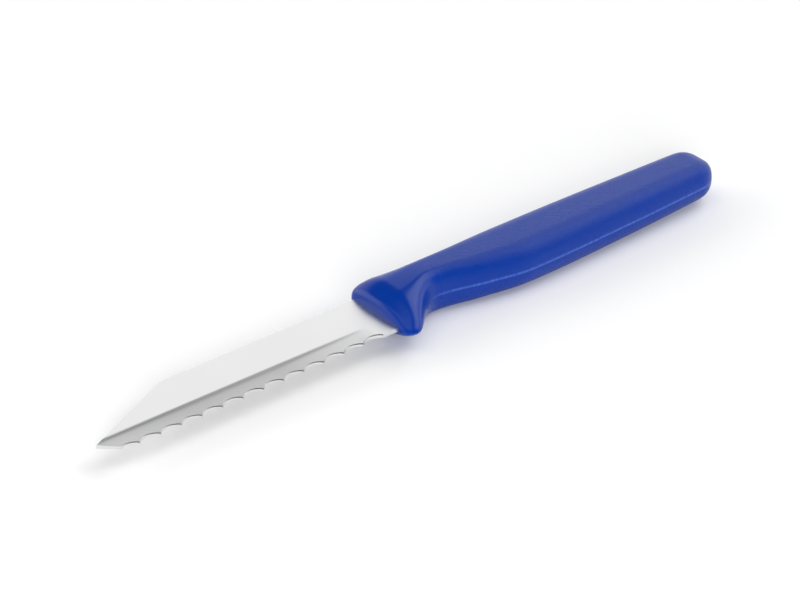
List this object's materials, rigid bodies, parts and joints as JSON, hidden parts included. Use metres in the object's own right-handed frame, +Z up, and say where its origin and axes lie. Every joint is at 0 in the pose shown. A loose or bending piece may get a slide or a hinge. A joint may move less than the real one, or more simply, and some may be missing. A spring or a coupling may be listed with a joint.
{
  "type": "serrated kitchen knife",
  "caption": "Small serrated kitchen knife lying flat: a clipped steel blade with a hollow-ground scalloped edge, its tang moulded into a plastic handle with a finger guard.",
  "frame": {"origin": "under the middle of the knife's bounding box, on the surface that it rests on", "axes": "+X from the tip to the butt of the handle, +Y from the cutting edge to the back, +Z up"},
  "size_m": [0.192, 0.0232, 0.0118],
  "materials": {
    "steel": "satin, ground lengthwise",
    "plastic": "fine spark-eroded grain with a smoother guard"
  },
  "bodies": {
    "root": {"blade": "steel", "handle": "plastic"}
  },
  "joints": []
}
